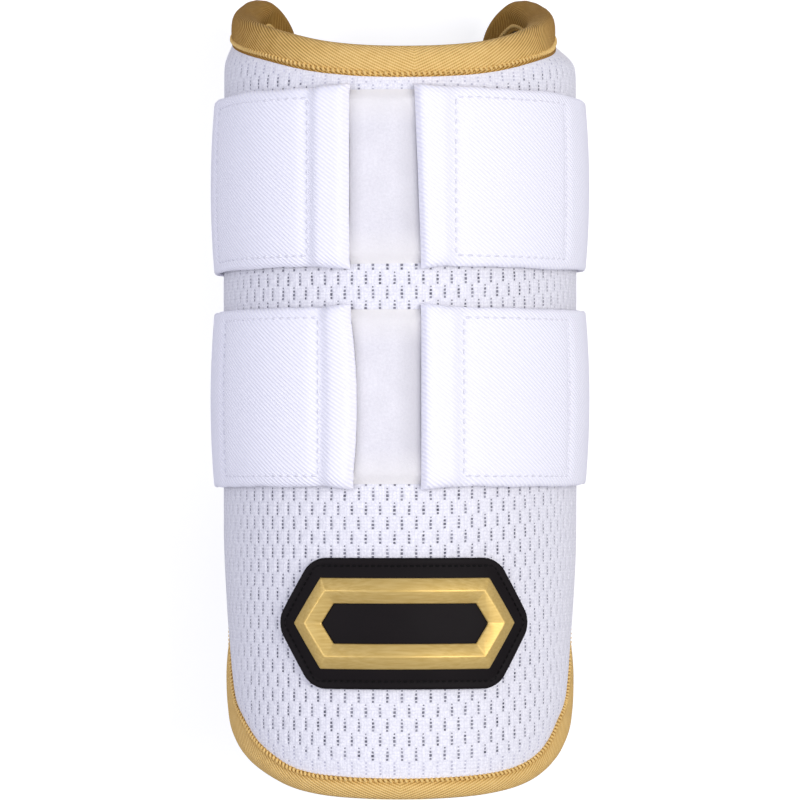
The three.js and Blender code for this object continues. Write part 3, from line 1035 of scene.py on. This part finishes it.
def strap_half(end, height):
    """A strap's sections from the middle of its back to one tip, with the length to each."""
    _, side, tip, tab_seam, _, slant, bow, _, _ = end
    rings = []
    lengths = []

    def add(along, place):
        lengths.append(along)
        rings.append(place)

    from_axis = STRAP_BACK_RADIUS - CORNER_RADIUS
    sweep = corner_sweep()
    centre = around(side * (180 - sweep), 0, from_axis) / MM
    flat_half = abs(centre.x)
    for k in range(BACK_SECTIONS):
        share = k / BACK_SECTIONS
        x = side * flat_half * share
        ring = strap_ring(lambda across: (BACK_DEPTH, BACK_DEPTH + STRAP_THICKNESS))
        points = [Vector((x, height + across, AXIS_HEIGHT - depth)) * MM for across, depth in ring]
        add(flat_half * share, points)
    for k in range(CORNER_SECTIONS + 1):
        turned = math.radians(sweep * k / CORNER_SECTIONS)
        facing = math.pi - turned
        ring = strap_ring(lambda across: (CORNER_RADIUS, CORNER_RADIUS + STRAP_THICKNESS))
        points = []
        for across, radius in ring:
            x = centre.x + side * radius * math.sin(facing)
            z = centre.z + radius * math.cos(facing)
            points.append(Vector((x, height + across, z)) * MM)
        add(flat_half + CORNER_RADIUS * turned, points)
    corner_end = lengths[-1]
    for angle in strap_angles(end):
        ring = strap_ring(lambda across: strap_faces(angle, across, end))
        share = min(max((tab_seam - angle) / (tab_seam - tip), 0), 1)
        length = corner_end + STRAP_RADIUS * math.radians(180 - sweep - angle)
        points = []
        for across, radius in ring:
            level = 2 * across / STRAP_WIDTH
            reach = slant * level - bow * (1 - level * level)
            moved = angle + math.degrees(reach * share / STRAP_RADIUS)
            waver = EDGE_WAVE * noise.noise(Vector((length, level, height)) / WAVE_LENGTH)
            waver *= level * smoothstep(length, corner_end, corner_end + WAVE_STARTS)
            rise = strap_height(angle, across, end) + waver
            points.append(around(side * moved, height + rise, radius))
        add(length, points)
    return rings, lengths


def make_strap(name, height):
    left, right = [end for end in STRAP_ENDS if end[0] == name]
    left_rings, left_lengths = strap_half(left, height)
    right_rings, right_lengths = strap_half(right, height)
    rings = left_rings[:0:-1] + right_rings
    lengths = [-length for length in left_lengths[:0:-1]] + right_lengths
    half = STRAP_WIDTH / 2
    across = [-half, *STRAP_COLUMNS, half, *STRAP_COLUMNS[::-1]]
    strap = skin(f"elastic_{name}", rings, lambda ring, point: (lengths[ring], across[point]))
    finish_piece(strap, elastic, "elastic", f"strap_{name}")


for name, height in STRAPS:
    make_strap(name, height)


# Fleece patches
FLEECE_STEP = 1.5
FLEECE_COLUMNS = columns_across(LOOP_WIDTH, (0, 0.15, 0.4), inset=1, count=40)
FLEECE_RIM = (-0.05, 0.8)  # the patch rises from the panel over this run from its edge
SELVAGE = 0.25  # the height of its woven margin
PILE_RISES = (0.4, 3.0)  # from the edge, the margin's end and the full pile
NAP = 0.12  # how far the pile is uneven
NAP_LENGTH = 1.7
NAP_DEPTH = 7  # which slice of the noise it is
SEWN_DOWN = (0.05, 0.06)  # the lowest of its under and upper faces, over the panel


def fleece_height(across):
    """How high the patch stands: low in its woven margins, full in the pile between them."""
    from_edge = LOOP_WIDTH / 2 - abs(across)
    rim = smoothstep(from_edge, *FLEECE_RIM)
    return rim * lerp(SELVAGE, LOOP_THICKNESS, smoothstep(from_edge, *PILE_RISES))


def make_fleece(name, height):
    start, end = LOOP_ENDS
    count = round((end - start) / FLEECE_STEP)
    rings = []
    angles = [lerp(start, end, k / count) for k in range(count + 1)]
    wraps = [PANEL_RADIUS * math.radians(angle) for angle in angles]
    for angle, wrap in zip(angles, wraps):
        under = []
        over = []
        for across in FLEECE_COLUMNS:
            y = height + across
            radius, _, _ = panel_faces((wrap, y))
            nap = NAP * noise.noise(Vector((wrap, y, NAP_DEPTH)) / NAP_LENGTH)
            rise = fleece_height(across)
            under.append(around(angle, y, radius + SEWN_DOWN[0]))
            over.append(around(angle, y, radius + SEWN_DOWN[1] + rise + nap * rise / LOOP_THICKNESS))
        rings.append(under + over[::-1])
    across = FLEECE_COLUMNS + FLEECE_COLUMNS[::-1]
    patch = skin(f"fleece_{name}", rings, lambda ring, point: (wraps[ring], across[point]))
    finish_piece(patch, fleece, "loop_fleece", f"loop_patch_{name}")


for name, height in STRAPS:
    make_fleece(name, height)

# The hook patches stay as solids
for name, side, *_ in STRAP_ENDS:
    side_name = "left" if side < 0 else "right"
    hook = bpy.data.objects[f"hook_patch_{name}_{side_name}"]
    hook.data.materials.clear()
    hook.data.materials.append(hook_tape)


# Stitches

# One stitch: place along its length, width and rise, as shares of its length and thickness
STITCH = [
    (-0.5, 0.3, -0.55),
    (-0.38, 0.8, -0.1),
    (-0.15, 1.0, 0.18),
    (0.15, 1.0, 0.18),
    (0.38, 0.8, -0.1),
    (0.5, 0.3, -0.55),
]
STITCH_SIDES = 6


def one_stitch():
    """The points and faces of one stitch, lying along X from -0.5 to 0.5 and rising in Z."""
    points = []
    faces = []
    for x, full, rise in STITCH:
        for k in range(STITCH_SIDES):
            turn = 2 * math.pi * k / STITCH_SIDES
            points.append((x, 0.5 * full * math.cos(turn), rise + 0.5 * full * math.sin(turn)))
    last = len(points) - STITCH_SIDES
    for first in range(0, last, STITCH_SIDES):
        for k in range(STITCH_SIDES):
            a = first + k
            b = first + (k + 1) % STITCH_SIDES
            faces.append((a, b, b + STITCH_SIDES, a + STITCH_SIDES))
    faces.append(tuple(range(STITCH_SIDES))[::-1])
    faces.append(tuple(range(last, len(points))))
    return points, faces


def sew(name, runs, thick, material, slot):
    """Many stitches as one mesh: each run is its two ends and the way out of the cloth."""
    shape, shape_faces = one_stitch()
    points = []
    faces = []
    for start, end, out in runs:
        along = end - start
        outward = (out - along * (out.dot(along) / along.length_squared)).normalized()
        sideways = outward.cross(along).normalized()
        middle = (start + end) / 2
        first = len(points)
        for x, y, z in shape:
            points.append(middle + along * x + (sideways * y + outward * z) * (thick * MM))
        faces += [tuple(first + corner for corner in face) for face in shape_faces]
    stitches = new_piece(name, points, faces)
    face_outwards(stitches)
    finish_piece(stitches, material, slot)


STRAP_STITCH = (2.0, 2.7)  # length and pitch
STRAP_THREAD = 0.62
THREAD_LIFT = 0.02  # its middle, over the cloth


def strap_point(end, height, angle, across):
    _, outer = strap_faces(angle, across, end)
    return around(end[1] * angle, height + strap_height(angle, across, end), outer + THREAD_LIFT)


def strap_stitches(end, height):
    """The stitches of one hook box: along both seams and both long sides."""
    side = end[1]
    tab_seam, far_seam = end[3:5]
    mm_per_degree = math.radians(STRAP_RADIUS + STRAP_THICKNESS)
    top = STRAP_WIDTH / 2 - SEAM_INSET
    corners = [(tab_seam, -top), (tab_seam, top), (far_seam, top), (far_seam, -top)]
    length, pitch = STRAP_STITCH
    runs = []
    for start, end_corner in zip(corners, corners[1:] + corners[:1]):
        span = math.hypot((end_corner[0] - start[0]) * mm_per_degree, end_corner[1] - start[1])
        count = round(span / pitch)
        for k in range(count):
            ends = []
            middle = (k + 0.5) / count
            reach = length / 2 / span
            for share in (middle - reach, middle + reach):
                angle = lerp(start[0], end_corner[0], share)
                across = lerp(start[1], end_corner[1], share)
                ends.append(strap_point(end, height, angle, across))
            angle = lerp(start[0], end_corner[0], middle)
            out = around(side * angle, 0, 1) - around(side * angle, 0, 0)
            runs.append((*ends, out))
    return runs


for name, height in STRAPS:
    runs = []
    for end in STRAP_ENDS:
        if end[0] == name:
            runs += strap_stitches(end, height)
    sew(f"strap_stitches_{name}", runs, STRAP_THREAD, white_thread, "elastic")

TAPE_STITCH_PITCH = 1.45
TAPE_STITCH_ROW = (-0.05, 1.35)  # the zigzag's two lines, in from the end of the tape's leg
TAPE_ROW_SHIFT = 0.9  # at the ears the zigzag lies further from the end of the leg
TAPE_THREAD = 0.8
TAPE_THREAD_LIFT = 1.5  # over the panel's edge


def tape_stitches(radius, out_sign):
    """A zigzag of stitches along the end of one leg of the tape."""
    count = 2 * round(edge_length / TAPE_STITCH_PITCH)
    places, _ = evenly(curve, count)
    inward = inward_at(places)
    low, high = TAPE_STITCH_ROW
    spots = []
    for k in range(count):
        row = high if k % 2 else low
        row += TAPE_ROW_SHIFT * smoothstep(places[k].y, *LEAN_HEIGHTS)
        flat = places[k] + inward[k] * (tape_leg(places[k].y) - row)
        spots.append((flat, rolled(flat, radius)))
    runs = []
    for k in range(0, count, 2):
        flat, start = spots[k]
        _, end = spots[(k + 1) % count]
        out = (rolled(flat, radius + 1) - rolled(flat, radius)) * out_sign
        runs.append((start, end, out))
    return runs


for name, radius, out_sign in [
    ("tape_stitches_outer", EDGE_OUTER + TAPE_THREAD_LIFT, 1),
    ("tape_stitches_inner", EDGE_INNER - TAPE_THREAD_LIFT, -1),
]:
    sew(name, tape_stitches(radius, out_sign), TAPE_THREAD, gold_thread, "gold_tape")


# The badge
BACKING = (37.5, 18, 11.5)  # half length, half height and the run of each sloping end
BACKING_RADIUS = PANEL_RADIUS + 0.1  # just over the panel
BACKING_HEIGHT = 1.85
BACKING_ROUND = 0.6  # the rounded top of its wall
BACKING_CORNER = 4
# The rubber's top, from its wall over the rounding and down into the stitched groove: inset, rise
BACKING_STEPS = [
    (0.1, 0.3),
    (0.25, 0.2),
    (0.35, 0.1),
    (1.0, 0.0),
    (0.25, -0.15),
    (0.5, 0.0),
    (0.25, 0.15),
]
PLATE = (31, 12.5, 8)
PLATE_WALL = 0.6
PLATE_RIDGE = 1.5
PLATE_WIDTH = 7
PLATE_BEVEL = 0.3
BEVELLED = 12  # edges sharper than this are bevelled
BADGE_SLICE = 1.5
SHARP = 32  # faces that meet at more than this keep their edge
BADGE_STITCH_INSET = 2.2
BADGE_STITCH_PITCH = 1.7
BADGE_STITCH_ENDS = (0.12, 0.88)  # of each stitch, as shares of its pitch
BADGE_STITCH_SINK = 0.1
BADGE_THREAD = 0.45


def hexagon(sizes, inset=0):
    """The corners of a long hexagon with points at its ends, inset all round."""
    half_length, half_height, run = sizes
    length = half_length - inset * math.hypot(run, half_height) / half_height
    tall = half_height - inset
    flat_half = length - run * tall / half_height
    return [
        (length, 0),
        (flat_half, tall),
        (-flat_half, tall),
        (-length, 0),
        (-flat_half, -tall),
        (flat_half, -tall),
    ]


def flat_hexagon(name, sizes):
    """A flat hexagon, in millimetres, left in edit mode with its face selected."""
    select_none()
    bpy.ops.mesh.primitive_circle_add(vertices=6, radius=1, fill_type="NGON")
    plate = bpy.context.object
    plate.name = name
    corners = hexagon(sizes)
    first = max(range(6), key=lambda i: plate.data.vertices[i].co.x)
    turn = 1 if plate.data.vertices[(first + 1) % 6].co.y > 0 else -1
    for k in range(6):
        vertex = plate.data.vertices[(first + turn * k) % 6]
        vertex.co = (*corners[k], 0)
    bpy.ops.object.mode_set(mode="EDIT")
    bpy.ops.mesh.select_all(action="SELECT")
    return plate


def raise_face(height):
    bpy.ops.mesh.extrude_region_move(TRANSFORM_OT_translate={"value": (0, 0, height)})


def roll_badge(plate, radius):
    """Slices the flat badge piece across and rolls it onto the panel."""
    half = max(vertex.co.x for vertex in plate.data.vertices)
    bpy.ops.object.mode_set(mode="EDIT")
    count = math.floor(half / BADGE_SLICE)
    for k in range(-count, count + 1):
        bpy.ops.mesh.select_all(action="SELECT")
        bpy.ops.mesh.bisect(plane_co=(k * BADGE_SLICE, 0, 0), plane_no=(1, 0, 0))
    bpy.ops.object.mode_set(mode="OBJECT")
    for vertex in plate.data.vertices:
        flat = (vertex.co.x + BADGE_PLACE[0], vertex.co.y + BADGE_PLACE[1])
        vertex.co = rolled(flat, radius + vertex.co.z)
    face_outwards(plate)
    bpy.ops.object.shade_smooth_by_angle(angle=math.radians(SHARP))


def make_backing():
    backing = flat_hexagon("rubber_badge", BACKING)
    bpy.ops.mesh.bevel(offset=BACKING_CORNER, segments=6, affect="VERTICES")
    bpy.ops.mesh.select_all(action="SELECT")
    raise_face(BACKING_HEIGHT - BACKING_ROUND)
    for inset, rise in BACKING_STEPS:
        bpy.ops.mesh.inset(thickness=inset, depth=rise)
    bpy.ops.object.mode_set(mode="OBJECT")
    roll_badge(backing, BACKING_RADIUS)
    finish_piece(backing, rubber, "badge_rubber", "badge_backing")


def make_plate():
    """A frame with a ridge along its middle: its opening and its back are cut out, then bridged."""
    plate = flat_hexagon("gilt_frame", PLATE)
    raise_face(PLATE_WALL)
    for rise in (PLATE_RIDGE, -PLATE_RIDGE):
        bpy.ops.mesh.inset(thickness=PLATE_WIDTH / 2, depth=rise)
    raise_face(-PLATE_WALL)
    bpy.ops.mesh.delete(type="FACE")
    bpy.ops.object.mode_set(mode="OBJECT")
    largest = max(face.area for face in plate.data.polygons)
    select_faces(plate, lambda face: face.area == largest)
    bpy.ops.mesh.delete(type="FACE")
    select_borders()
    bpy.ops.mesh.bridge_edge_loops()
    bpy.ops.mesh.select_all(action="DESELECT")
    bpy.ops.mesh.edges_select_sharp(sharpness=math.radians(BEVELLED))
    bpy.ops.mesh.bevel(offset=PLATE_BEVEL, segments=3, affect="EDGES")
    bpy.ops.object.mode_set(mode="OBJECT")
    roll_badge(plate, BACKING_RADIUS + BACKING_HEIGHT)
    finish_piece(plate, gilt, "badge_gilt", "badge_plate")


def badge_stitches():
    """A row of stitches in the groove round the rubber."""
    corners = [Vector(corner) for corner in hexagon(BACKING, BADGE_STITCH_INSET)]
    radius = BACKING_RADIUS + BACKING_HEIGHT - BADGE_STITCH_SINK
    runs = []
    for a, b in zip(corners, corners[1:] + corners[:1]):
        span = (b - a).length
        count = round(span / BADGE_STITCH_PITCH)
        for k in range(count):
            ends = []
            for place in BADGE_STITCH_ENDS:
                spot = a.lerp(b, (k + place) / count) + Vector(BADGE_PLACE)
                ends.append(rolled(spot, radius))
            out = rolled(spot, radius + 1) - rolled(spot, radius)
            runs.append((*ends, out))
    return runs


make_backing()
make_plate()
sew("badge_stitches", badge_stitches(), BADGE_THREAD, black_thread, "badge_rubber")


# Floor, light and camera
FLOOR_SIZE = 6000
FLOOR_DROP = 0.3  # under the guard
FLOOR_GLOW = 0.72


def make_floor():
    """A pale floor, whose glow only the camera sees, so that it doesn't light the guard."""
    select_none()
    bpy.ops.mesh.primitive_plane_add(size=FLOOR_SIZE * MM, location=(0, 0, -FLOOR_DROP * MM))
    floor = bpy.context.object
    floor.name = "floor"
    material, tree, shader = new_material("white_sweep")
    seen = add_node(tree, "LightPath", {}).outputs["Is Camera Ray"]
    glow = add_node(tree, "Math", {0: seen, 1: FLOOR_GLOW}, operation="MULTIPLY")
    feed(tree, shader, {
        "Base Color": "#B2B2B4",
        "Roughness": 0.9,
        "Specular IOR Level": 0.1,
        "Emission Color": "#FFFFFF",
        "Emission Strength": glow,
    })
    floor.data.materials.append(material)


def add_light(name, place, aim, size, power, tint):
    light = bpy.data.lights.new(name, "AREA")
    light.shape = "DISK"
    light.size = size
    light.energy = power
    light.color = colour(tint)[:3]
    lamp = bpy.data.objects.new(name, light)
    lamp.location = place
    lamp.rotation_euler = (Vector(aim) - Vector(place)).to_track_quat("-Z", "Y").to_euler()
    bpy.context.collection.objects.link(lamp)


def light_studio():
    world = bpy.data.worlds.new("studio")
    world.use_nodes = True
    tree = world.node_tree
    background = tree.nodes["Background"]
    way = add_node(tree, "TexCoord", {}).outputs["Generated"]
    facing = add_node(tree, "VectorMath", {0: way, 1: (0.1, -0.15, 0.98)}, operation="DOT_PRODUCT")
    strength = add_node(tree, "MapRange", {
        "Value": facing.outputs["Value"],
        "From Min": -0.35,
        "From Max": 1.0,
        "To Min": 0.5,
        "To Max": 0.62,
    })
    feed(tree, background, {"Color": "#EBEDFF", "Strength": strength})
    bpy.context.scene.world = world
    middle = (0, 0, 0.05)
    add_light("key", (0.66, 0.05, 1.15), middle, 0.7, 9.2, "#FFFDFA")
    add_light("fill", (-0.95, 0.03, 0.85), middle, 0.7, 4.8, "#F6F6FF")
    bpy.context.scene.view_settings.view_transform = "Standard"


CAMERA_HEIGHT = 1250  # over the arm's axis
CAMERA_Y = -25.9
AIM_Y = -3.0
CAMERA_LENS = 196.9


def place_camera():
    camera = bpy.data.objects.new("camera", bpy.data.cameras.new("camera"))
    camera.data.lens = CAMERA_LENS
    camera.data.sensor_width = 36
    camera.data.clip_start = 0.01
    camera.location = (0, CAMERA_Y * MM, (AXIS_HEIGHT + CAMERA_HEIGHT) * MM)
    camera.rotation_euler = (math.atan2(AIM_Y - CAMERA_Y, CAMERA_HEIGHT), 0, 0)
    bpy.context.collection.objects.link(camera)
    bpy.context.scene.camera = camera


make_floor()
light_studio()
place_camera()
